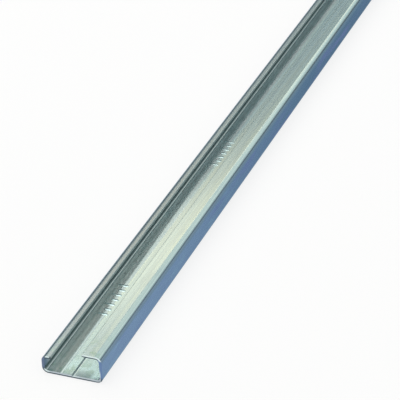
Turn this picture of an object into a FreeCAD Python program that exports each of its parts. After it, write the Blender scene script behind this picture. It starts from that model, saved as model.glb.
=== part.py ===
"""Asymmetric G-section mounting rail, one piece of roll-formed steel strip.

The strip is folded four times, always the same way: narrow lip, shallow flange, web,
deep flange, wide lip. Seen from the near end, looking along +Y, the shallow flange is on
the left and the deep flange on the right. The rail lies on the underside of its web,
with +Z up and its length along Y. The origin is at the middle of the underside.
All sizes are in millimetres.
"""
import FreeCAD, Part
import math
import os
import Sketcher

RAIL_NAME = "g_rail"

# Each driving size, with what it measures.
SIZES = {
    "rail_length": (1000.0, "length of the piece of stock"),
    "rail_width": (32.0, "over the outside of both flanges"),
    "deep_height": (15.0, "underside of the web to the top of the wide lip"),
    "shallow_height": (10.0, "underside of the web to the top of the narrow lip"),
    "wide_lip": (10.2, "outside of the deep flange to the free edge of its lip"),
    "narrow_lip": (5.0, "outside of the shallow flange to the free edge of its lip"),
    "sheet_thickness": (1.5, "thickness of the strip"),
    "bend_radius": (1.7, "inside radius of the four bends"),
    "edge_radius": (0.35, "rounding of the strip's slit edges, along both lips"),
    "end_break": (0.2, "small bevel round the cut ends"),
    "line_width": (1.0, "width of the centre line rolled into the web"),
    "line_depth": (0.3, "depth of the centre line"),
}

QUARTER_TURN = math.pi / 2
TOLERANCE = 1e-6

# How a sketch names the ends and the centre of a line or an arc, and its own origin.
START = 1
END = 2
CENTRE = 3
HORIZONTAL_AXIS = -1


def add_sheet(document):
    """Write the driving sizes to a sheet, one row each: name, value and meaning."""
    sheet = document.addObject("Spreadsheet::Sheet", "Sizes")
    for row, (alias, (value, meaning)) in enumerate(SIZES.items(), start=1):
        sheet.set(f"A{row}", alias)
        sheet.set(f"B{row}", str(value))
        sheet.set(f"C{row}", meaning)
        sheet.setAlias(f"B{row}", alias)
    document.recompute()
    return sheet


def read_sizes(sheet):
    """The driving sizes by name, as the sheet holds them."""
    return {alias: float(sheet.get(alias)) for alias in SIZES}


def add_cross_sketch(body, name):
    """A sketch on the body's plane across the rail, with X to the right and Z up."""
    sketch = body.newObject("Sketcher::SketchObject", name)
    planes = [plane for plane in body.Origin.OriginFeatures if plane.Role == "XZ_Plane"]
    sketch.AttachmentSupport = [(planes[0], "")]
    sketch.MapMode = "FlatFace"
    return sketch


def section_point(across, up):
    """A point of the section, across the rail and up from its underside."""
    return FreeCAD.Vector(across, up, 0)


def point_on_bend(centre, radius, turns):
    """The point of a bend that lies the given number of quarter turns round its centre."""
    angle = turns * QUARTER_TURN
    return centre + section_point(radius * math.cos(angle), radius * math.sin(angle))


def add_line(sketch, start, end, direction=None):
    """Draw a line, held level or upright where a direction is given."""
    line = sketch.addGeometry(Part.LineSegment(start, end), False)
    if direction:
        sketch.addConstraint(Sketcher.Constraint(direction, line))
    return line


def add_bend(sketch, centre, radius, turns):
    """Draw a quarter circle that starts the given number of quarter turns round."""
    circle = Part.Circle(centre, FreeCAD.Vector(0, 0, 1), radius)
    start = turns * QUARTER_TURN
    return sketch.addGeometry(Part.ArcOfCircle(circle, start, start + QUARTER_TURN), False)


def bind(sketch, alias, *constraint):
    """Add a dimension to the sketch and tie it to the driving size of the same name."""
    index = sketch.addConstraint(Sketcher.Constraint(*constraint))
    sketch.renameConstraint(index, alias)
    sketch.setExpression(f"Constraints.{alias}", f"Sizes.{alias}")


def bend_centres(sizes, outer_radius):
    """The centres of the four bends, in the order in which the strip is folded."""
    left = -sizes["rail_width"] / 2 + outer_radius
    right = sizes["rail_width"] / 2 - outer_radius
    return [
        section_point(left, sizes["shallow_height"] - outer_radius),
        section_point(left, outer_radius),
        section_point(right, outer_radius),
        section_point(right, sizes["deep_height"] - outer_radius),
    ]


def add_strip_face(sketch, centres, radius, narrow_edge, wide_edge):
    """Draw one face of the strip: five flats joined by four tangent bends.

    The face runs from the narrow lip's free edge round to the wide lip's, and its
    flats are level and upright by turns.
    """
    starts = [point_on_bend(centre, radius, turns) for turns, centre in enumerate(centres, 1)]
    ends = [point_on_bend(centre, radius, turns) for turns, centre in enumerate(centres, 2)]
    flat_starts = [section_point(narrow_edge, starts[0].y)] + ends
    flat_ends = starts + [section_point(wide_edge, ends[-1].y)]
    flats = []
    for index, (start, end) in enumerate(zip(flat_starts, flat_ends)):
        direction = "Vertical" if index % 2 else "Horizontal"
        flats.append(add_line(sketch, start, end, direction))
    bends = [add_bend(sketch, centre, radius, turns) for turns, centre in enumerate(centres, 1)]
    for before, bend, after in zip(flats, bends, flats[1:]):
        sketch.addConstraint(Sketcher.Constraint("Tangent", before, END, bend, START))
        sketch.addConstraint(Sketcher.Constraint("Tangent", bend, END, after, START))
    return flats, bends


def add_slit_edge(sketch, outer_flat, inner_flat, side, start, end):
    """Close the section across the strip at a lip's free edge."""
    edge = add_line(sketch, start, end, "Vertical")
    sketch.addConstraint(Sketcher.Constraint("Coincident", edge, START, outer_flat, side))
    sketch.addConstraint(Sketcher.Constraint("Coincident", edge, END, inner_flat, side))
    return edge


def add_section(body, sizes):
    """The G section: an outer and an inner face with a common centre at every bend."""
    thickness = sizes["sheet_thickness"]
    inner_radius = sizes["bend_radius"]
    outer_radius = inner_radius + thickness
    narrow_edge = -sizes["rail_width"] / 2 + sizes["narrow_lip"]
    wide_edge = sizes["rail_width"] / 2 - sizes["wide_lip"]
    centres = bend_centres(sizes, outer_radius)

    sketch = add_cross_sketch(body, "Section")
    outer_flats, outer_bends = add_strip_face(
        sketch, centres, outer_radius, narrow_edge, wide_edge)
    inner_flats, inner_bends = add_strip_face(
        sketch, centres, inner_radius, narrow_edge, wide_edge)
    narrow_slit = add_slit_edge(
        sketch, outer_flats[0], inner_flats[0], START,
        section_point(narrow_edge, sizes["shallow_height"]),
        section_point(narrow_edge, sizes["shallow_height"] - thickness))
    add_slit_edge(
        sketch, outer_flats[-1], inner_flats[-1], END,
        section_point(wide_edge, sizes["deep_height"]),
        section_point(wide_edge, sizes["deep_height"] - thickness))

    for outer, inner in zip(outer_bends, inner_bends):
        sketch.addConstraint(Sketcher.Constraint("Coincident", outer, CENTRE, inner, CENTRE))
    for inner in inner_bends[1:]:
        sketch.addConstraint(Sketcher.Constraint("Equal", inner_bends[0], inner))

    narrow_lip, shallow_flange, web, deep_flange, wide_lip = outer_flats
    sketch.addConstraint(Sketcher.Constraint(
        "Symmetric", web, START, web, END, HORIZONTAL_AXIS, START))
    bind(sketch, "bend_radius", "Radius", inner_bends[0], inner_radius)
    bind(sketch, "sheet_thickness", "DistanceY", narrow_slit, END, narrow_slit, START, thickness)
    bind(sketch, "rail_width", "DistanceX",
         shallow_flange, END, deep_flange, START, sizes["rail_width"])
    bind(sketch, "deep_height", "DistanceY", web, END, wide_lip, START, sizes["deep_height"])
    bind(sketch, "shallow_height", "DistanceY",
         web, START, narrow_lip, END, sizes["shallow_height"])
    bind(sketch, "narrow_lip", "DistanceX",
         shallow_flange, START, narrow_lip, START, sizes["narrow_lip"])
    bind(sketch, "wide_lip", "DistanceX", wide_lip, END, deep_flange, END, sizes["wide_lip"])
    return sketch


def add_line_section(body, sizes):
    """The centre line's section: a shallow vee in the web's upper face."""
    half = sizes["line_width"] / 2
    top = sizes["sheet_thickness"]
    left = section_point(-half, top)
    right = section_point(half, top)
    root = section_point(0, top - sizes["line_depth"])

    sketch = add_cross_sketch(body, "CentreLineSection")
    mouth = add_line(sketch, right, left, "Horizontal")
    left_side = add_line(sketch, left, root)
    right_side = add_line(sketch, root, right)
    sketch.addConstraint(Sketcher.Constraint("Coincident", mouth, END, left_side, START))
    sketch.addConstraint(Sketcher.Constraint("Coincident", left_side, END, right_side, START))
    sketch.addConstraint(Sketcher.Constraint("Coincident", right_side, END, mouth, START))
    sketch.addConstraint(Sketcher.Constraint("Equal", left_side, right_side))
    sketch.addConstraint(Sketcher.Constraint(
        "DistanceX", HORIZONTAL_AXIS, START, left_side, END, 0.0))
    bind(sketch, "sheet_thickness", "DistanceY", HORIZONTAL_AXIS, START, mouth, START, top)
    bind(sketch, "line_width", "DistanceX", mouth, END, mouth, START, sizes["line_width"])
    bind(sketch, "line_depth", "DistanceY", left_side, END, left_side, START, sizes["line_depth"])
    return sketch


def extrude_both_ways(feature, sketch):
    """Run a section half of the rail's length each way from the middle."""
    feature.Profile = sketch
    feature.SideType = "Symmetric"
    feature.setExpression("Length", "Sizes.rail_length")


def slit_edge_names(shape, sizes):
    """The long edges at the free edge of both lips."""
    free_edges = (
        -sizes["rail_width"] / 2 + sizes["narrow_lip"],
        sizes["rail_width"] / 2 - sizes["wide_lip"],
    )
    names = []
    for index, edge in enumerate(shape.Edges, start=1):
        first, last = (vertex.Point for vertex in edge.Vertexes)
        runs_along = abs(abs(last.y - first.y) - sizes["rail_length"]) < TOLERANCE
        if runs_along and any(abs(first.x - across) < TOLERANCE for across in free_edges):
            names.append(f"Edge{index}")
    return names


def end_face_names(shape, sizes):
    """The two faces across the rail, one at each cut end."""
    names = []
    for index, face in enumerate(shape.Faces, start=1):
        box = face.BoundBox
        flat_across = box.YLength < TOLERANCE
        if flat_across and abs(abs(box.YMin) - sizes["rail_length"] / 2) < TOLERANCE:
            names.append(f"Face{index}")
    return names


def build_rail(document, sheet):
    """Fold the strip, round its slit edges, break its ends and roll in the centre line."""
    sizes = read_sizes(sheet)
    body = document.addObject("PartDesign::Body", "Rail")
    body.Label = RAIL_NAME

    strip = body.newObject("PartDesign::Pad", "FoldedStrip")
    extrude_both_ways(strip, add_section(body, sizes))
    document.recompute()

    slit_edges = body.newObject("PartDesign::Fillet", "SlitEdges")
    slit_edges.Base = (strip, slit_edge_names(strip.Shape, sizes))
    slit_edges.setExpression("Radius", "Sizes.edge_radius")
    document.recompute()

    cut_ends = body.newObject("PartDesign::Chamfer", "CutEnds")
    cut_ends.Base = (slit_edges, end_face_names(slit_edges.Shape, sizes))
    cut_ends.setExpression("Size", "Sizes.end_break")
    document.recompute()

    line_section = add_line_section(body, sizes)
    centre_line = body.newObject("PartDesign::Pocket", "CentreLine")
    centre_line.Type = "ThroughAll"
    extrude_both_ways(centre_line, line_section)
    body.Tip = centre_line
    document.recompute()
    return body


def check_build(document, body):
    """Stop on a failed feature, a loose sketch or a step that takes nothing off the strip."""
    for item in document.Objects:
        failed = {"Invalid", "Error"} & set(item.State)
        if failed:
            raise RuntimeError(f"{item.Label} is {sorted(failed)}")
        if item.TypeId == "Sketcher::SketchObject" and not item.FullyConstrained:
            raise RuntimeError(f"{item.Label} isn't fully constrained")
    if body.Shape.isNull() or not body.Shape.isValid():
        raise RuntimeError(f"{body.Label} has no valid shape")

    steps = [item for item in body.Group if item.TypeId.startswith("PartDesign::")]
    for before, after in zip(steps, steps[1:]):
        taken = before.Shape.Volume - after.Shape.Volume
        if taken <= 0:
            raise RuntimeError(f"{after.Label} takes nothing off {before.Label}")
        print(f"{after.Label} takes off {taken:.1f} mm3")
    print(f"{body.Label}: {len(body.Shape.Solids)} solid, {body.Shape.Volume:.1f} mm3")


def main():
    """Build the rail and write it to its file."""
    document = FreeCAD.newDocument("MountingRail")
    sheet = add_sheet(document)
    body = build_rail(document, sheet)
    check_build(document, body)
    os.makedirs("parts", exist_ok=True)
    body.Shape.exportStep(f"parts/{body.Label}.step")


main()
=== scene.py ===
"""Looks of a roll-formed G-section mounting rail, zinc plated and blue passivated.

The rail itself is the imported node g_rail, which keeps its shape and gets its finish here.
The raised ribs on its web are modelled here. All sizes are in metres, in the rail's own
frame: +Y runs along the rail, +Z is up, +X points to the high flange with the wide lip,
and the origin is at the middle of the rail's underside.
"""
import logging
import math
from dataclasses import dataclass
from enum import Enum
from functools import cached_property
from typing import Callable, Optional, Union

import bpy
from mathutils import Matrix, Vector


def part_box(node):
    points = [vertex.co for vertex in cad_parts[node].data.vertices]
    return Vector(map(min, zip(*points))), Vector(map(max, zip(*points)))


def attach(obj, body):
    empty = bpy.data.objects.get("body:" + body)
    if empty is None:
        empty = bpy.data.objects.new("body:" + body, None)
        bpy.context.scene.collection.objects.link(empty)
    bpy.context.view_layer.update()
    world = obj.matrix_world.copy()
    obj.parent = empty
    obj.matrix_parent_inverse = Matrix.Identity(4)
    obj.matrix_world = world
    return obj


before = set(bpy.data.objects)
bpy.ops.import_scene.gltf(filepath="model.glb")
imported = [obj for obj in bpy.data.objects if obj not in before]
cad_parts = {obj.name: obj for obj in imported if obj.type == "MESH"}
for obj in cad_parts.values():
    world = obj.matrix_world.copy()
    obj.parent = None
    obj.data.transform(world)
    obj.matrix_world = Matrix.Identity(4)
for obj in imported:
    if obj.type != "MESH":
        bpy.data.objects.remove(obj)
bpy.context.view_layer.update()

LOG = logging.getLogger("rail")

RAIL_NODE = "g_rail"
ROOT_BODY = "root"

MM = 0.001
SHEET = 1.5 * MM
OUTER_BEND = 3.2 * MM
NARROW_LIP = 5.0 * MM
WIDE_LIP = 10.2 * MM
SHALLOW_HEIGHT = 10.0 * MM
DEEP_HEIGHT = 15.0 * MM
LINE_WIDTH = 1.0 * MM
WHITE = (1.0, 1.0, 1.0)

Number = Union[float, "Value"]
Colour = tuple[float, float, float]
Socket = bpy.types.NodeSocket


class RibLength(Enum):
    """The two lengths of a raised rib."""

    LONG = 6.0 * MM
    SHORT = 4.2 * MM


class MeshPart(Enum):
    """What is selected on a mesh in edit mode."""

    EDGE = "EDGE"
    FACE = "FACE"


class Value:
    """A number that varies over a surface, held as a socket that arithmetic works on."""

    def __init__(self, graph: "Graph", socket: Socket) -> None:
        """Wrap an output socket with one number, in the graph it belongs to."""
        self.graph = graph
        self.socket = socket

    def __add__(self, other: Number) -> "Value":
        """Sum of two values."""
        return self.graph.math("ADD", self, other)

    __radd__ = __add__

    def __sub__(self, other: Number) -> "Value":
        """Difference of two values."""
        return self.graph.math("SUBTRACT", self, other)

    def __rsub__(self, other: Number) -> "Value":
        """Difference, taken from the other value."""
        return self.graph.math("SUBTRACT", other, self)

    def __mul__(self, other: Number) -> "Value":
        """Product of two values."""
        return self.graph.math("MULTIPLY", self, other)

    __rmul__ = __mul__

    def __abs__(self) -> "Value":
        """Size of the value without its sign."""
        return self.graph.math("ABSOLUTE", self)

    def __or__(self, other: Number) -> "Value":
        """The larger of two values."""
        return self.graph.math("MAXIMUM", self, other)

    def rise(self, low: float, high: float) -> "Value":
        """Smooth step that is 0 at low and 1 at high, whichever of them is larger.

        Args:
            low: Where the step is 0.
            high: Where the step is 1.

        Returns:
            The step, from 0 to 1.
        """
        near, far = sorted((low, high))
        node = self.graph.add(
            "ShaderNodeMapRange",
            {"interpolation_type": "SMOOTHSTEP"},
            {"Value": self, "From Min": near, "From Max": far},
        )
        step = self.graph.value(node, "Result")
        return 1 - step if low > high else step

    def band(self, low: float, high: float, soft: float) -> "Value":
        """Mask that is 1 between low and high and fades out over a soft width beyond each."""
        return self.rise(low - soft, low) * self.rise(high + soft, high)


class Graph:
    """A node graph that is being written, with one method that adds any node."""

    def __init__(self, tree: bpy.types.NodeTree) -> None:
        """Take over the node tree of a material or of the world."""
        self.tree = tree

    def add(
        self, kind: str, settings: Optional[dict] = None, inputs: Optional[dict] = None
    ) -> bpy.types.Node:
        """Add a node.

        Args:
            kind: The node's type.
            settings: Its properties, which are set before its sockets.
            inputs: Values or links of its sockets, by socket identifier.

        Returns:
            The new node.
        """
        node = self.tree.nodes.new(kind)
        for name, setting in (settings or {}).items():
            setattr(node, name, setting)
        for name, given in (inputs or {}).items():
            self.feed(node, name, given)
        return node

    def feed(self, node: bpy.types.Node, name: str, given: object) -> None:
        """Set or link one socket.

        Args:
            node: The node whose input it is.
            name: The socket's identifier.
            given: A Value, an output socket or a plain value.
        """
        socket = next(entry for entry in node.inputs if entry.identifier == name)
        if isinstance(given, Value):
            given = given.socket
        if isinstance(given, Socket):
            self.tree.links.new(given, socket)
        else:
            socket.default_value = given

    def value(self, node: bpy.types.Node, name: str) -> Value:
        """One output of a node, as a Value."""
        return Value(self, node.outputs[name])

    def math(self, operation: str, *numbers: Number) -> Value:
        """Add a Math node.

        Args:
            operation: The node's operation.
            numbers: One or two values.

        Returns:
            The result.
        """
        sockets = ("Value", "Value_001")
        node = self.add("ShaderNodeMath", {"operation": operation}, dict(zip(sockets, numbers)))
        return self.value(node, "Value")

    def mix(self, factor: Number, first: object, second: object) -> Socket:
        """Blend two colours.

        Args:
            factor: 0 gives the first colour and 1 the second.
            first: A colour or an output socket.
            second: A colour or an output socket.

        Returns:
            The colour socket of the blend.
        """
        colours = [(*entry, 1.0) if isinstance(entry, tuple) else entry for entry in (first, second)]
        node = self.add(
            "ShaderNodeMix",
            {"data_type": "RGBA"},
            {"Factor_Float": factor, "A_Color": colours[0], "B_Color": colours[1]},
        )
        return next(entry for entry in node.outputs if entry.identifier == "Result_Color")

    def lay_over(self, colour: object, *layers: tuple[Number, object]) -> Socket:
        """Lay colours over a colour, one after another.

        Args:
            colour: The lowest colour, or its output socket.
            layers: For each layer, the mask of where it lies and its colour.

        Returns:
            The colour socket of all the layers.
        """
        for mask, layer in layers:
            colour = self.mix(mask, colour, layer)
        return colour

    def split(self, vector: Socket) -> tuple[Value, Value, Value]:
        """The three numbers of a vector."""
        node = self.add("ShaderNodeSeparateXYZ", inputs={"Vector": vector})
        return tuple(self.value(node, name) for name in "XYZ")


class Surface(Graph):
    """A material that is being written, with a Principled shader."""

    def __init__(self, name: str) -> None:
        """Start the material.

        Args:
            name: The material's name.
        """
        self.material = bpy.data.materials.new(name)
        self.material.use_nodes = True
        super().__init__(self.material.node_tree)
        self.shader = self.tree.nodes["Principled BSDF"]


class RailSurface(Surface):
    """The rail's surface, with a mask for each part of it that looks different.

    The low half is the one with the shallow flange and the narrow lip, and the high half the
    one with the deep flange and the wide lip. A mask is 1 on the part it names and 0 elsewhere.
    """

    def __init__(self, name: str, half_length: float, half_width: float) -> None:
        """Start the material and read the place and the normal of each point.

        Args:
            name: The material's name.
            half_length: Half the rail's length.
            half_width: Half the rail's width.
        """
        super().__init__(name)
        self.half_length = half_length
        self.half_width = half_width
        self.place = self.add("ShaderNodeTexCoord").outputs["Object"]
        self.across, self.along, self.up = self.split(self.place)
        normal = self.add("ShaderNodeNewGeometry").outputs["Normal"]
        self.facing_x, self.facing_y, self.facing_z = self.split(normal)

    def grain(self, size: tuple[float, float, float], detail: float = 2.0, seed: float = 0.0) -> Value:
        """Noise whose grains have the given size along each axis.

        Args:
            size: Size of a grain across, along and up, in metres.
            detail: How much finer noise is laid over it.
            seed: Moves the pattern, so that two grains of one size differ.

        Returns:
            The noise, around one half.
        """
        mapping = self.add("ShaderNodeMapping", inputs={
            "Vector": self.place,
            "Scale": tuple(1 / length for length in size),
            "Location": (seed, seed, seed),
        })
        noise = self.add("ShaderNodeTexNoise", inputs={
            "Vector": mapping.outputs["Vector"],
            "Scale": 1.0,
            "Detail": detail,
        })
        return self.value(noise, "Fac")

    def bump(self, height: Value, distance: float, below: Optional[Socket] = None) -> Socket:
        """Turn a height into a normal.

        Args:
            height: The relief, from 0 to 1.
            distance: What 1 means, in metres.
            below: The normal of a relief that this one lies on.

        Returns:
            The normal's socket.
        """
        inputs = {"Height": height, "Distance": distance}
        if below:
            inputs["Normal"] = below
        return self.add("ShaderNodeBump", inputs=inputs).outputs["Normal"]

    @cached_property
    def high_half(self) -> Value:
        """Mask of the half with the high flange."""
        return self.across.rise(-MM, MM)

    @cached_property
    def outward(self) -> Value:
        """How far the surface faces away from the rail's middle, from -1 to 1."""
        return self.facing_x * (self.high_half * 2 - 1)

    @cached_property
    def low_down(self) -> Value:
        """Mask of the web and the lowest part of the flanges."""
        return self.up.rise(4 * MM, 3 * MM)

    def near_ends(self, reach: float) -> Value:
        """Mask that is 1 at the cut ends and has faded out at a distance from them."""
        return abs(self.along).rise(self.half_length - reach, self.half_length)

    def away_from_ends(self, share: float) -> Value:
        """Mask that grows from 0 at the cut ends to 1 at a share of the half length from the middle."""
        return abs(self.along).rise(self.half_length, share * self.half_length)

    @cached_property
    def far_along(self) -> Value:
        """Mask that grows slowly from the cut ends to the middle half of the rail."""
        return self.away_from_ends(0.48)

    @cached_property
    def midway(self) -> Value:
        """Mask that is 0 in the outer 15% of the rail at each end and 1 past the outer 22%."""
        return abs(self.along).rise(0.70 * self.half_length, 0.56 * self.half_length)

    @cached_property
    def on_cuts(self) -> Value:
        """Mask of the faces of the cut ends."""
        at_end = abs(self.along).rise(self.half_length - 0.35 * MM, self.half_length - 0.25 * MM)
        return at_end * abs(self.facing_y).rise(0.3, 0.6)

    @cached_property
    def on_flanges(self) -> Value:
        """Mask of the flanges' outer faces, which reaches further round the high one's bends."""
        return self.outward.rise(0.66, 0.95) * self.high_half | self.outward.rise(0.86, 0.98)

    @cached_property
    def on_inner_walls(self) -> Value:
        """Mask of the flanges' inner faces."""
        return self.outward.rise(-0.45, -0.85)

    @cached_property
    def under_lips(self) -> Value:
        """Mask of the lips' undersides."""
        return self.facing_z.rise(-0.3, -0.7) * self.up.rise(1 * MM, 3 * MM)

    @cached_property
    def inside(self) -> Value:
        """Mask of the inner faces that little light reaches, of flanges and lips."""
        return self.on_inner_walls | self.under_lips

    @cached_property
    def on_slit_edges(self) -> Value:
        """Mask of the strip's slit edges, along both lips.

        Returns:
            The mask.
        """
        reach = 0.4 * MM
        narrow = -self.half_width + NARROW_LIP
        wide = self.half_width - WIDE_LIP
        beside_narrow = self.across.band(narrow - reach, narrow + reach, 0.02 * MM)
        beside_wide = self.across.band(wide - reach, wide + reach, 0.02 * MM)
        return self.outward.rise(-0.3, -0.8) * (beside_narrow | beside_wide)

    @cached_property
    def on_low_shoulder(self) -> Value:
        """Mask of the outer bend above the low flange, which gets painted shade."""
        above = self.up.rise(SHALLOW_HEIGHT - 4.2 * MM, SHALLOW_HEIGHT - 2.2 * MM)
        return self.outward.rise(0.18, 0.50) * above * (1 - self.high_half)

    @cached_property
    def on_high_shoulder(self) -> Value:
        """Mask of the outer bend above the high flange, which gets painted shade."""
        above = self.up.rise(DEEP_HEIGHT - 4.2 * MM, DEEP_HEIGHT - 2.6 * MM)
        return self.outward.rise(0.58, 0.93) * above * self.high_half

    @cached_property
    def on_feet(self) -> Value:
        """Mask of the outer bends below the flanges, and of the rail's underside."""
        return self.facing_z.rise(-0.15, -0.5) * self.up.rise(3.2 * MM, 2.6 * MM)

    @cached_property
    def on_high_bend(self) -> Value:
        """Mask of the bend between the wide lip and the high flange."""
        return self.across.rise(12.6 * MM, 13.4 * MM) * self.up.rise(11 * MM, 12 * MM)

    @cached_property
    def on_low_lip(self) -> Value:
        """Mask of the narrow lip."""
        return self.across.rise(-10 * MM, -11 * MM) * self.up.rise(8 * MM, 9 * MM)

    @cached_property
    def on_web(self) -> Value:
        """Mask of the web's upper face."""
        return self.up.rise(SHEET + 0.04 * MM, SHEET + 0.01 * MM) * self.facing_z.rise(0.1, 0.5)

    @cached_property
    def beside_low_lip(self) -> Value:
        """Mask of the web's upper face beside the narrow lip."""
        return self.across.rise(-6.0 * MM, -7.5 * MM) * self.on_web

    @cached_property
    def hazed(self) -> Value:
        """Mask of a hazy strip on the web's upper face, which is wider away from the cut ends. Near the cut
        ends a painted reflection lies on it.

        Returns:
            The mask.
        """
        widening = self.away_from_ends(0.58) * (2.0 * MM)
        outer_edge = (self.across + widening).rise(-7.1 * MM, -5.9 * MM)
        return outer_edge * self.across.rise(-4.9 * MM, -5.9 * MM) * self.on_web

    @cached_property
    def on_ribs(self) -> Value:
        """Mask of the raised ribs, whose film is dulled by the press."""
        raised = self.up.band(SHEET + 0.05 * MM, SHEET + 0.25 * MM, 0.02 * MM)
        return raised * self.across.band(-11.0 * MM, -3.5 * MM, 0.1 * MM)

    @cached_property
    def in_groove(self) -> Value:
        """Mask of the centre line's sides."""
        beside = abs(self.across).rise(0.52 * LINE_WIDTH, 0.38 * LINE_WIDTH)
        return beside * self.up.band(SHEET - 0.5 * MM, SHEET - 0.04 * MM, 0.02 * MM)

    @cached_property
    def groove_highlight(self) -> Value:
        """Mask of a band on the high side of the centre line, where a highlight is painted."""
        groove_sheen = self.across.band(0.62 * LINE_WIDTH, 0.95 * LINE_WIDTH, 0.1 * MM)
        return groove_sheen * self.up.rise(3 * MM, 2 * MM)

    @cached_property
    def in_folds(self) -> Value:
        """Mask of the bends' inner faces, at the foot of each flange."""
        return self.outward.rise(-0.12, -0.4) * self.up.rise(4.2 * MM, 3.0 * MM)

    def past_fold(self, height: float) -> Value:
        """Distance from a bend's centre, squared and in sheets, with the level walls run on.

        Args:
            height: Height of the bend's centre.

        Returns:
            The squared distance, 1 for one sheet's thickness.
        """
        over = (self.up - height) * (1 / SHEET)
        past = (abs(self.across) - (self.half_width - OUTER_BEND)) * (1 / SHEET) | 0.0
        return past * past + over * over


@dataclass(frozen=True)
class ZincFinish:
    """Blue-passivated zinc on rolled strip, with bare metal where the strip was cut.

    A cover is how much of what lies under a colour it hides, from 0 to 1. A reach is how far
    from a cut end an effect has faded out. A dulling takes something off the metal share, and
    a roughening adds to the roughness.
    """

    plain: Colour = (0.595, 0.775, 0.785)
    cream: Colour = (0.62, 0.785, 0.745)
    grey: Colour = (0.50, 0.64, 0.655)
    hazy: Colour = (0.90, 0.94, 0.89)
    hazy_far: Colour = (0.70, 0.76, 0.76)
    # painted reflection of the glare on the web near the cut ends
    reflected_glare: Colour = (0.88, 1.0, 0.95)
    # painted shade on the narrow lip, lighter far from the cut ends
    low_lip_shade: Colour = (0.43, 0.52, 0.54)
    low_lip_far_shade: Colour = (0.51, 0.62, 0.635)
    # the film's blue tint on the outer sides, with a painted blue reflection
    blue: Colour = (0.225, 0.32, 0.475)
    pale_blue: Colour = (0.26, 0.39, 0.52)
    # painted shade on the outer sides far from the cut ends
    far_shaded_blue: Colour = (0.08, 0.145, 0.235)
    violet: Colour = (0.15, 0.17, 0.38)
    # painted shade on the outer bends above the flanges, and below them
    low_shoulder_shade: Colour = (0.27, 0.34, 0.35)
    shoulder_shade: Colour = (0.17, 0.25, 0.31)
    lip_underside: Colour = (0.86, 0.83, 0.83)
    inner_wall: Colour = (0.60, 0.67, 0.67)
    # painted shade and a painted blue reflection on the inner faces by the cut ends
    inner_end_shade: Colour = (0.18, 0.27, 0.40)
    # painted shade inside the bends; the high bend gets a painted highlight
    fold_shade: Colour = (0.47, 0.56, 0.56)
    deep_fold_shade: Colour = (0.13, 0.19, 0.19)
    fold_highlight: Colour = (0.93, 1.0, 1.0)
    low_slit: Colour = (0.42, 0.49, 0.48)
    slit_edge: Colour = (0.27, 0.34, 0.34)
    # painted shade in the centre line
    groove_shade: Colour = (0.44, 0.53, 0.54)
    pressed: Colour = (0.42, 0.51, 0.50)
    # painted light on the web near the cut ends
    end_light: Colour = (0.71, 1.0, 1.0)
    olive: Colour = (0.44, 0.62, 0.52)
    # painted shade near the cut ends
    cut_shaded: Colour = (0.25, 0.35, 0.38)
    cut_shaded_fold: Colour = (0.16, 0.24, 0.29)
    # a burnish on the cut ends, and a painted highlight beside the centre line
    burnish_and_sheen: Colour = (0.86, 1.0, 1.0)
    half_burnished: Colour = (0.62, 0.70, 0.76)
    torn: Colour = (0.07, 0.10, 0.12)
    torn_low_side: Colour = (0.15, 0.20, 0.30)
    torn_high_side: Colour = (0.16, 0.25, 0.44)
    grazing: Colour = (0.45, 0.57, 0.68)

    haze_cover: float = 0.85
    cloud_cover: float = 0.6
    mottle_cover: float = 0.4
    streak_cover: float = 0.5
    track_shade_cover: float = 0.4
    bend_shade_cover: float = 0.4
    end_light_cover: float = 0.4
    stain_cover: float = 0.75
    cut_shade_cover: float = 0.75
    mirrored_cover: float = 0.9
    groove_sheen_cover: float = 0.6
    shoulder_shade_cover: float = 0.8
    rib_cover: float = 0.5
    wisp_cover: float = 0.8
    edge_highlight_cover: float = 0.8

    bright_reach: float = 30 * MM
    strip_light_reach: float = 150 * MM
    stain_reach: float = 24 * MM
    dimmer_zone_reach: float = 9 * MM
    cut_shade_reach: float = 8 * MM
    rim_reach: float = 3 * MM
    fold_reach: float = 6 * MM
    inner_end_shade_reach: float = 9 * MM

    metal_share: float = 0.88
    inside_dulling: float = 0.5
    haze_dulling: float = 0.8
    haze_dulling_lost: float = 0.3
    low_lip_dulling: float = 0.1
    fold_dulling: float = 0.5

    roughness: float = 0.14
    streak_roughening: float = 0.04
    fine_roughening: float = 0.02
    inside_roughening: float = 0.25
    cut_roughening: float = 0.2
    low_lip_roughening: float = 0.05
    rib_roughening: float = 0.08

    crown: float = 0.06 * MM
    streak_depth: float = 0.0004 * MM
    mottle_depth: float = 0.0002 * MM
    half_length: float = 0.5
    half_width: float = 16.0 * MM

    def make(self) -> bpy.types.Material:
        """Write the material.

        Returns:
            The finished material.
        """
        surface = RailSurface("zinc_blue_passivated", self.half_length, self.half_width)
        streaks = surface.grain((0.55 * MM, 90 * MM, 0.55 * MM), detail=3.0)
        mottle = surface.grain((0.7 * MM, 3.0 * MM, 0.7 * MM), detail=3.0, seed=9.0)
        surface.feed(surface.shader, "Base Color", self._colour(surface, streaks, mottle))
        surface.feed(surface.shader, "Metallic", self.metal_share - self._dulling(surface))
        surface.feed(surface.shader, "Specular Tint", (*self.grazing, 1.0))
        surface.feed(surface.shader, "Roughness", self._roughness(surface, streaks))
        surface.feed(surface.shader, "Normal", self._relief(surface, streaks, mottle))
        return surface.material

    def _colour(self, surface: RailSurface, streaks: Value, mottle: Value) -> Socket:
        """Colour of the whole rail, with each part of it laid over the level faces.

        Args:
            surface: The surface that is being written.
            streaks: Noise drawn out along the rail.
            mottle: Shorter noise.

        Returns:
            The colour.
        """
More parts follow.
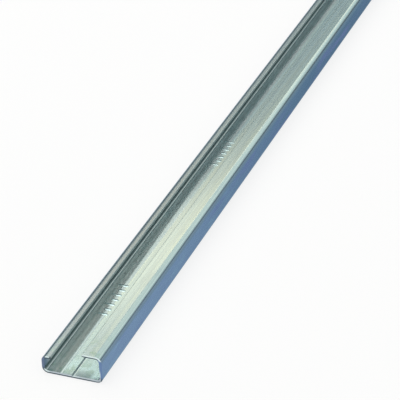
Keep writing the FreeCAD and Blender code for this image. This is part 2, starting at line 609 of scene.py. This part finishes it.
        # painted shade on the outer bend above the high flange, on the bends below the flanges and on the
        # underside
        high_shoulder = surface.on_high_shoulder * self.shoulder_shade_cover | surface.on_feet
        return surface.lay_over(
            self._level_colour(surface, streaks, mottle),
            (surface.on_flanges, self._flange_colour(surface)),
            # painted shade on the outer bend above the low flange
            (surface.on_low_shoulder * self.shoulder_shade_cover, self.low_shoulder_shade),
            (high_shoulder, self.shoulder_shade),
            (surface.under_lips, self.lip_underside),
            (surface.on_inner_walls, self._inner_wall_colour(surface)),
            (surface.in_folds, self._fold_colour(surface)),
            (surface.on_slit_edges, surface.mix(surface.high_half, self.low_slit, self.slit_edge)),
            # painted shade in the centre line
            (surface.in_groove, self.groove_shade),
            (surface.on_ribs * self.rib_cover, self.pressed),
            (surface.on_cuts, self._cut_colour(surface)),
        )

    def _dulling(self, surface: RailSurface) -> Value:
        """What inner faces, haze and folds take off the metal share.

        Args:
            surface: The surface that is being written.

        Returns:
            The loss, to be taken off the metal share.
        """
        haze = surface.hazed * (self.haze_dulling - surface.midway * self.haze_dulling_lost)
        beside_lip = surface.beside_low_lip * (1 - surface.far_along)
        high_fold = surface.in_folds * surface.across.rise(0.0, MM)
        dulling = surface.inside * self.inside_dulling | haze
        return dulling + beside_lip * self.low_lip_dulling + high_fold * self.fold_dulling

    def _roughness(self, surface: RailSurface, streaks: Value) -> Value:
        """Roughness of the whole rail.

        Args:
            surface: The surface that is being written.
            streaks: Noise drawn out along the rail.

        Returns:
            The roughness.
        """
        fine = surface.grain((0.14 * MM, 2.2 * MM, 0.14 * MM), seed=7.0)
        rolled = (streaks - 0.5) * self.streak_roughening + (fine - 0.5) * self.fine_roughening
        return (
            rolled
            + self.roughness
            + surface.inside * self.inside_roughening
            + surface.on_cuts * self.cut_roughening
            + surface.on_low_lip * self.low_lip_roughening
            + surface.on_ribs * self.rib_roughening
        )

    def _relief(self, surface: RailSurface, streaks: Value, mottle: Value) -> Socket:
        """Relief of the film, on a wide lip that falls off a little before it bends down.

        Args:
            surface: The surface that is being written.
            streaks: Noise drawn out along the rail.
            mottle: Shorter noise.

        Returns:
            The normal.
        """
        crown = surface.bump(surface.across.rise(14.3 * MM, 12.3 * MM), self.crown)
        streaked = surface.bump(streaks, self.streak_depth, below=crown)
        return surface.bump(mottle, self.mottle_depth, below=streaked)

    def _level_colour(self, surface: RailSurface, streaks: Value, mottle: Value) -> Socket:
        """Colour of the faces that look up or down.

        Args:
            surface: The surface that is being written.
            streaks: Noise drawn out along the rail.
            mottle: Shorter noise.

        Returns:
            The colour.
        """
        far = surface.far_along
        # painted shade on the narrow lip, lighter far from the cut ends
        low_lip_shade = surface.mix(far * far * far, self.low_lip_shade, self.low_lip_far_shade)
        film = self._film_colour(surface, streaks, mottle)
        colour = self._mark_by_cuts(surface, surface.mix(surface.on_low_lip, film, low_lip_shade))
        # painted reflection of the glare on the hazy strip near the cut ends
        mirrored = surface.hazed * (1 - surface.midway)
        return surface.lay_over(
            colour,
            (mirrored * self.mirrored_cover, self.reflected_glare),
            # painted highlight beside the centre line
            (surface.groove_highlight * self.groove_sheen_cover, self.burnish_and_sheen),
        )

    def _film_colour(self, surface: RailSurface, streaks: Value, mottle: Value) -> Socket:
        """Colour of the film: pale green-grey with cream and grey streaks and clouds, and stripes of
        painted shade along the rail.

        Args:
            surface: The surface that is being written.
            streaks: Noise drawn out along the rail.
            mottle: Shorter noise.

        Returns:
            The colour.
        """
        warm = surface.grain((1.6 * MM, 120 * MM, 1.6 * MM), seed=11.0)
        clouds = surface.grain((3.0 * MM, 26 * MM, 3.0 * MM), detail=3.0, seed=3.0)
        haze = surface.mix(surface.far_along, self.hazy, self.hazy_far)
        # painted shade: darker stripes along the rail
        track_shade = surface.across.band(-3.1 * MM, -2.5 * MM, 0.5 * MM)
        track_shade = track_shade | surface.across.band(0.9 * MM, 1.4 * MM, 0.5 * MM)
        track_shade = track_shade | surface.across.band(9.3 * MM, 10.0 * MM, 0.7 * MM)
        # painted shade where the high bend turns down
        bend_shade = surface.on_high_bend * surface.facing_x.rise(0.2, 0.5)
        return surface.lay_over(
            self.plain,
            (warm.rise(0.42, 0.66) | surface.on_high_bend, self.cream),
            (surface.beside_low_lip * self.haze_cover, haze),
            (clouds.rise(0.5, 0.75) * self.cloud_cover, self.grey),
            (mottle.rise(0.5, 0.8) * self.mottle_cover, self.grey),
            (streaks.rise(0.50, 0.70) * self.streak_cover, self.grey),
            (track_shade * self.track_shade_cover, self.grey),
            (bend_shade * self.bend_shade_cover, self.grey),
        )

    def _mark_by_cuts(self, surface: RailSurface, colour: Socket) -> Socket:
        """Lay over a colour the stains near the cut ends, and painted light and painted shade there.

        Args:
            surface: The surface that is being written.
            colour: The colour of the film.

        Returns:
            The colour with painted light on the film, stains and painted shade near the cut ends.
        """
        low_down = surface.low_down
        # painted light near the cut ends, kept off the last 9 mm except under the wide lip, and on a strip
        # left of the centre line
        bright = low_down * surface.across.rise(-6.5 * MM, -4.5 * MM) * surface.near_ends(self.bright_reach)
        dimmer_zone = surface.near_ends(self.dimmer_zone_reach) * surface.across.rise(8 * MM, 5 * MM)
        pale = low_down * surface.across.band(-6.0 * MM, -3.0 * MM, MM)
        pale = pale * surface.near_ends(self.strip_light_reach) * self.end_light_cover
        stains = surface.grain((4.0 * MM, 5.0 * MM, 4.0 * MM), detail=3.0, seed=21.0)
        stained = stains.rise(0.49, 0.64) * surface.near_ends(self.stain_reach)
        # painted shade near the cut ends: a patch right of the centre line and a rim along the cut edge
        cut_shade = surface.near_ends(self.cut_shade_reach) * surface.across.band(2.5 * MM, 8.5 * MM, 2.5 * MM)
        rim = surface.near_ends(self.rim_reach) * (surface.across.rise(9 * MM, 12 * MM) * 0.5 + 0.5)
        return surface.lay_over(
            colour,
            # painted light near the cut ends
            (bright * (1 - dimmer_zone) | pale, self.end_light),
            (stained * self.stain_cover, self.olive),
            # painted shade near the cut ends
            ((cut_shade | rim) * low_down * self.cut_shade_cover, self.cut_shaded),
        )

    def _flange_colour(self, surface: RailSurface) -> Socket:
        """Colour of the outer sides: the film's blue tint with a painted blue reflection, and painted shade
        that deepens it far from the ends.

        Args:
            surface: The surface that is being written.

        Returns:
            The colour.
        """
        # painted shade that deepens the blue away from the cut ends
        depth = surface.away_from_ends(0.2)
        patches = surface.grain((5 * MM, 45 * MM, 5 * MM), detail=4.0, seed=5.0)
        wisps = surface.grain((2.5 * MM, 18 * MM, 2.5 * MM), detail=4.0, seed=15.0)
        return surface.lay_over(
            self.blue,
            (wisps.rise(0.48, 0.72) * self.wisp_cover, self.pale_blue),
            (depth, self.far_shaded_blue),
            (patches.rise(0.45, 0.7) * (depth * 0.5 + 0.25), self.violet),
        )

    def _inner_wall_colour(self, surface: RailSurface) -> Socket:
        """Colour of the flanges' inner faces, with painted shade and a painted blue reflection next to the
        cut ends.
        """
        return surface.mix(surface.near_ends(self.inner_end_shade_reach), self.inner_wall, self.inner_end_shade)

    def _fold_colour(self, surface: RailSurface) -> Socket:
        """Colour inside the bends: painted shade at the low flange, and at the high one a painted highlight
        with painted shade next to the cut ends.

        Args:
            surface: The surface that is being written.

        Returns:
            The colour.
        """
        # painted shade, deeper where the bend meets the wall
        low_fold_shade = surface.mix(surface.outward.rise(-0.62, -0.92), self.fold_shade, self.deep_fold_shade)
        # painted highlight, with painted shade next to the cut ends
        high_fold_highlight_and_shade = surface.mix(surface.near_ends(self.fold_reach), self.fold_highlight, self.cut_shaded_fold)
        return surface.mix(surface.high_half, low_fold_shade, high_fold_highlight_and_shade)

    def _cut_colour(self, surface: RailSurface) -> Socket:
        """Colour of the cut ends: a burnish in the upper half of each level wall, torn below it.

        Args:
            surface: The surface that is being written.

        Returns:
            The colour.
        """
        dimmer_zone = surface.across.rise(-1 * MM, 5 * MM) | abs(surface.across + 6 * MM).rise(8 * MM, 5 * MM)
        polish = surface.mix(dimmer_zone * surface.low_down, self.burnish_and_sheen, self.half_burnished)
        side = surface.mix(surface.high_half, self.torn_low_side, self.torn_high_side)
        flanges = abs(surface.across).rise(self.half_width - 2.2 * MM, self.half_width - 1.5 * MM)
        torn = surface.mix(flanges * surface.up.rise(1.6 * MM, 4.0 * MM), self.torn, side)
        return surface.mix(self._burnished_part(surface), torn, polish)

    def _burnished_part(self, surface: RailSurface) -> Value:
        """Mask of the shear's burnish on the cut ends, with a painted highlight along the deep flange's
        inner edge.

        Args:
            surface: The surface that is being written.

        Returns:
            The mask, broken up by scratches.
        """
        half_way = (OUTER_BEND / SHEET - 0.5) ** 2
        soft = 0.35
        web = surface.past_fold(OUTER_BEND).rise(half_way + 0.3 * soft, half_way - 1.5 * soft)
        web = web * surface.up.rise(2.9 * MM, 1.9 * MM)
        wide_lip = surface.past_fold(DEEP_HEIGHT - OUTER_BEND).rise(half_way - soft, half_way + soft)
        wide_lip = wide_lip * surface.up.rise(DEEP_HEIGHT - 2.6 * MM, DEEP_HEIGHT - 1.6 * MM)
        narrow_lip = surface.past_fold(SHALLOW_HEIGHT - OUTER_BEND).rise(half_way - soft, half_way + soft)
        narrow_lip = narrow_lip * surface.up.rise(SHALLOW_HEIGHT - 1.9 * MM, SHALLOW_HEIGHT - 1.1 * MM)
        narrow_lip = narrow_lip * surface.across.band(-13.5 * MM, -12.0 * MM, 0.7 * MM)
        # painted highlight along the inner edge of the deep flange's cut end
        edge_highlight = surface.across.rise(self.half_width - 0.8 * MM, self.half_width - 1.2 * MM)
        edge_highlight = edge_highlight * surface.across.rise(10 * MM, 12 * MM) * surface.up.band(2.2 * MM, 5.5 * MM, 2.5 * MM)
        scratches = surface.grain((0.08 * MM, 1.0 * MM, 0.6 * MM), seed=2.0)
        burnish_and_sheen = web | wide_lip | narrow_lip | edge_highlight * self.edge_highlight_cover
        return burnish_and_sheen * (scratches.rise(0.25, 0.6) * 0.3 + 0.7)


@dataclass
class RailStrip:
    """The folded strip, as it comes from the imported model."""

    node: bpy.types.Object

    def dress(self, finish: bpy.types.Material) -> bpy.types.Object:
        """Give the strip its finish.

        Args:
            finish: The zinc material.

        Returns:
            The strip.
        """
        for slot in self.node.material_slots:
            slot.material = finish
        return self.node


def select_only(*pieces: bpy.types.Object) -> None:
    """Select some pieces and nothing else, and make the first one active.

    Args:
        pieces: The pieces to select.
    """
    bpy.ops.object.select_all(action="DESELECT")
    for piece in pieces:
        piece.select_set(True)
    bpy.context.view_layer.objects.active = pieces[0]


def pick(piece: bpy.types.Object, part: MeshPart, keep: Callable[[object], bool]) -> None:
    """Select the edges or faces of a piece that pass a test, and leave it in edit mode.

    Args:
        piece: The active piece.
        part: Whether edges or faces are selected.
        keep: Test of one edge or face.
    """
    bpy.ops.object.mode_set(mode="EDIT")
    bpy.ops.mesh.select_mode(type=part.value)
    bpy.ops.mesh.select_all(action="DESELECT")
    bpy.ops.object.mode_set(mode="OBJECT")
    members = piece.data.edges if part is MeshPart.EDGE else piece.data.polygons
    for member in members:
        member.select = keep(member)
    bpy.ops.object.mode_set(mode="EDIT")


@dataclass
class EmbossedRibs:
    """Sets of short raised ribs, pressed up out of the web beside its centre line.

    Each step of the profile is how far a rib's side goes in and how far it goes up.
    """

    first_set: float = 67.0 * MM
    pair_gap: float = 160.5 * MM
    pair_pitch: float = 500.0 * MM
    pair_count: int = 2
    right_end: float = -4.2 * MM
    rib_width: float = 1.7 * MM
    rib_pitch: float = 4.55 * MM
    foot: float = 0.04 * MM
    foot_above: float = 0.01 * MM
    end_rounding: float = 0.46
    end_segments: int = 7
    smooth_angle: float = 50.0
    profile: tuple[tuple[float, float], ...] = (
        (0.16 * MM, 0.02 * MM),
        (0.15 * MM, 0.04 * MM),
        (0.14 * MM, 0.036 * MM),
        (0.12 * MM, 0.024 * MM),
        (0.09 * MM, 0.008 * MM),
    )
    order: tuple[RibLength, ...] = (RibLength.LONG, RibLength.SHORT) * 3 + (RibLength.LONG,)

    def build(self, near_end: float, finish: bpy.types.Material) -> list[bpy.types.Object]:
        """Model one set, then copy it along the rail.

        Args:
            near_end: Where the rail starts, along Y.
            finish: The zinc material.

        Returns:
            The sets, from the near end.
        """
        models = {length: self._rib(length) for length in RibLength}
        model = self._set(models, near_end + self.first_set)
        model.data.materials.append(finish)
        places = [
            pair * self.pair_pitch + gap
            for pair in range(self.pair_count)
            for gap in (0.0, self.pair_gap)
        ]
        sets = [self._copy(model, place) for place in places]
        bpy.data.objects.remove(model)
        for number, piece in enumerate(sets, start=1):
            piece.name = f"embossed_ribs_{number}"
            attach(piece, ROOT_BODY)
        return sets

    def _rib(self, length: RibLength) -> bpy.types.Object:
        """Model one rib: a round-ended bar whose sides rise in a soft curve to a flat crown.

        Args:
            length: The rib's length.

        Returns:
            The rib, across the web at the rail's middle.
        """
        height = self.foot + self.foot_above
        size = (length.value, self.rib_width, height)
        middle = Vector((self.right_end - length.value / 2, 0, SHEET + self.foot_above - height / 2))
        bpy.ops.object.select_all(action="DESELECT")
        bpy.ops.mesh.primitive_cube_add(size=1, location=middle, scale=size)
        rib = bpy.context.object
        rib.name = "rib"
        bpy.ops.object.transform_apply(location=True, rotation=True, scale=True)
        points = rib.data.vertices

        def upright(edge: bpy.types.MeshEdge) -> bool:
            """Whether an edge of the bar stands upright."""
            start, end = (points[index].co for index in edge.vertices)
            return abs(start.z - end.z) > height / 2

        pick(rib, MeshPart.EDGE, upright)
        bpy.ops.mesh.bevel(
            offset=self.end_rounding * self.rib_width, segments=self.end_segments, affect="EDGES"
        )
        pick(rib, MeshPart.FACE, lambda face: face.normal.z > 0.9)
        for inset, rise in self.profile:
            bpy.ops.mesh.inset(thickness=inset, depth=rise)
        bpy.ops.object.mode_set(mode="OBJECT")
        bpy.ops.object.shade_smooth_by_angle(angle=math.radians(self.smooth_angle))
        return rib

    def _set(self, models: dict[RibLength, bpy.types.Object], middle: float) -> bpy.types.Object:
        """Lay the ribs of one set in a row along the rail and join them.

        Args:
            models: One rib of each length, which are used up.
            middle: Where the middle of the set is, along Y.

        Returns:
            The joined set.
        """
        start = middle - self.rib_pitch * (len(self.order) - 1) / 2
        ribs = [
            self._copy(models[length], start + self.rib_pitch * index)
            for index, length in enumerate(self.order)
        ]
        select_only(*ribs)
        bpy.ops.object.join()
        for model in models.values():
            bpy.data.objects.remove(model)
        return ribs[0]

    def _copy(self, piece: bpy.types.Object, along: float) -> bpy.types.Object:
        """Copy a piece with its own mesh, moved along the rail.

        Args:
            piece: The piece to copy.
            along: How far the copy is moved, along Y.

        Returns:
            The copy.
        """
        copy = piece.copy()
        copy.data = piece.data.copy()
        copy.data.transform(Matrix.Translation((0, along, 0)))
        bpy.context.scene.collection.objects.link(copy)
        return copy


@dataclass
class PhotoCamera:
    """A long-lens camera, placed by where the rail's near end is seen.

    Angles are in degrees. The frame's width, the focal length and the place where the near
    end is seen are in pixels.
    """

    frame_width: float = 400.0
    focal_length: float = 1879.57
    azimuth: float = 22.12
    elevation: float = 30.523
    roll: float = -2.394
    distance: float = 0.90577
    near_end_seen_at: tuple[float, float] = (72.5, 378.009)
    sensor: float = 36.0
    clip_start: float = 0.01
    clip_end: float = 100.0

    def place(self, near_end: Vector) -> bpy.types.Object:
        """Make the camera and aim it.

        Args:
            near_end: The middle of the near end's bottom edge.

        Returns:
            The camera.
        """
        azimuth, elevation, roll = (
            math.radians(angle) for angle in (self.azimuth, self.elevation, self.roll)
        )
        back = Vector((
            math.sin(azimuth) * math.cos(elevation),
            -math.cos(azimuth) * math.cos(elevation),
            math.sin(elevation),
        ))
        level = Vector((0, 0, 1)).cross(back).normalized()
        upright = back.cross(level)
        right = level * math.cos(roll) + upright * math.sin(roll)
        up = upright * math.cos(roll) - level * math.sin(roll)
        turn = Matrix((right, up, back)).transposed().to_4x4()
        middle = self.frame_width / 2
        aside = (self.near_end_seen_at[0] - middle) / self.focal_length * self.distance
        above = (middle - self.near_end_seen_at[1]) / self.focal_length * self.distance
        spot = near_end + back * self.distance - right * aside - up * above
        data = bpy.data.cameras.new("camera")
        data.sensor_width = self.sensor
        data.lens = self.focal_length / self.frame_width * self.sensor
        data.clip_start = self.clip_start
        data.clip_end = self.clip_end
        camera = bpy.data.objects.new("camera", data)
        camera.matrix_world = Matrix.Translation(spot) @ turn
        bpy.context.scene.collection.objects.link(camera)
        bpy.context.scene.camera = camera
        return camera


@dataclass
class Studio:
    """Plain pale floor under a ring of soft light, with a soft lamp at the back left."""

    floor_size: float = 60.0
    floor_drop: float = 0.05 * MM
    floor_colour: Colour = (0.93, 0.93, 0.93)
    floor_glow: float = 0.8
    lamp_spot: tuple[float, float, float] = (-1.2, 0.4, 1.8)
    lamp_size: float = 2.0
    lamp_power: float = 14.0
    warm_light: Colour = (1.27, 1.0, 0.74)
    cool_light: Colour = (0.95, 1.0, 1.01)
    blue_light: Colour = (0.88, 1.0, 1.12)
    sky_seen: float = 0.97
    ring_tilt: float = 0.25
    floor_level: float = 0.12
    wall_level: float = 0.34
    ring_level: float = 0.57
    glare_level: float = 0.98
    gleam_level: float = 0.35
    top_level: float = 0.30
    sweep_level: float = 0.8
    gap_depth: float = 0.24
    shade_depth: float = 0.48

    def build(self) -> None:
        """Lay the floor, light the world and hang the lamp."""
        bpy.ops.object.select_all(action="DESELECT")
        bpy.ops.mesh.primitive_plane_add(size=self.floor_size, location=(0, 0, -self.floor_drop))
        floor = bpy.context.object
        floor.name = "floor"
        floor.data.materials.append(self._floor_paper())
        self._light_world()
        self._hang_lamp("key", Vector(self.lamp_spot))

    def _floor_paper(self) -> bpy.types.Material:
        """Matt paper that looks near white to the eye and in the metal, and still takes a shadow.

        Returns:
            The paper's material.
        """
        paint = Surface("floor_paper")
        paint.feed(paint.shader, "Base Color", (*self.floor_colour, 1.0))
        paint.feed(paint.shader, "Roughness", 1.0)
        paint.feed(paint.shader, "Specular IOR Level", 0.0)
        path = paint.add("ShaderNodeLightPath")
        seen = paint.value(path, "Is Camera Ray") | paint.value(path, "Is Glossy Ray")
        seen = seen | paint.value(path, "Is Transmission Ray")
        glow = paint.add("ShaderNodeEmission", inputs={"Color": (*WHITE, 1.0), "Strength": 1.0})
        blend = paint.add("ShaderNodeMixShader", inputs={
            "Fac": seen * self.floor_glow,
            "Shader": paint.shader.outputs["BSDF"],
            "Shader_001": glow.outputs["Emission"],
        })
        paint.feed(paint.tree.nodes["Material Output"], "Surface", blend.outputs["Shader"])
        return paint.material

    def _light_world(self) -> None:
        """Light the room: a bright sweep at the floor, dim walls and a soft ring above them.

        The ring has a glare at the back, with a gleam and a shade above it, and a dark gap runs
        below it. To the camera the room is plain white.
        """
        world = bpy.data.worlds.new("studio")
        bpy.context.scene.world = world
        world.use_nodes = True
        graph = Graph(world.node_tree)
        sideways, _, height = graph.split(graph.add("ShaderNodeTexCoord").outputs["Generated"])
        tilted = height + sideways * self.ring_tilt
        wall = tilted.rise(0.13, 0.30)
        ring = tilted.rise(0.411, 0.435)
        glare = tilted.rise(0.412, 0.434) * tilted.rise(0.480, 0.453) * sideways.rise(0.35, -0.25)
        gleam = height.rise(0.475, 0.52) * height.rise(0.56, 0.54) * sideways.rise(-0.29, -0.24)
        over = height.rise(0.50, 0.62)
        top = height.rise(0.70, 0.95)
        sweep = height.rise(0.045, 0.015)
        gap = tilted.rise(0.365, 0.402)
        shade = tilted.rise(0.468, 0.481) * tilted.rise(0.530, 0.500) * sideways.rise(-0.10, -0.30)
        brightness = (
            wall * self.wall_level
            + self.floor_level
            + ring * self.ring_level
            + glare * self.glare_level
            + gleam * self.gleam_level
            + top * self.top_level
            + sweep * self.sweep_level
            - gap * self.gap_depth
            - shade * self.shade_depth
        )
        seen = graph.value(graph.add("ShaderNodeLightPath"), "Is Camera Ray")
        colour = graph.lay_over(
            self.cool_light,
            (glare | gleam * 0.3 | over * 0.1, self.warm_light),
            (shade * sideways.rise(-0.32, -0.36) * 0.6, self.blue_light),
            (seen, WHITE),
        )
        background = graph.tree.nodes["Background"]
        graph.feed(background, "Strength", brightness * (1 - seen) + seen * self.sky_seen)
        graph.feed(background, "Color", colour)

    def _hang_lamp(self, name: str, spot: Vector) -> bpy.types.Object:
        """Hang a square lamp that points at the rail.

        Args:
            name: The lamp's name.
            spot: Where it hangs.

        Returns:
            The lamp.
        """
        data = bpy.data.lights.new(name, "AREA")
        data.size = self.lamp_size
        data.energy = self.lamp_power
        lamp = bpy.data.objects.new(name, data)
        lamp.matrix_world = Matrix.Translation(spot) @ spot.to_track_quat("Z", "Y").to_matrix().to_4x4()
        bpy.context.scene.collection.objects.link(lamp)
        return lamp


def main() -> None:
    """Dress the rail, add its ribs, then set up its surroundings and the camera."""
    logging.basicConfig(level=logging.INFO, format="%(message)s")
    low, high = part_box(RAIL_NODE)
    zinc = ZincFinish(half_length=high.y, half_width=high.x).make()
    rail = RailStrip(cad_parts[RAIL_NODE]).dress(zinc)
    LOG.info("%s dressed", rail.name)
    for piece in EmbossedRibs().build(low.y, zinc):
        LOG.info("%s modelled", piece.name)
    Studio().build()
    PhotoCamera().place(Vector((0, low.y, low.z)))
    bpy.context.scene.view_settings.view_transform = "Standard"


if __name__ == "__main__":
    main()
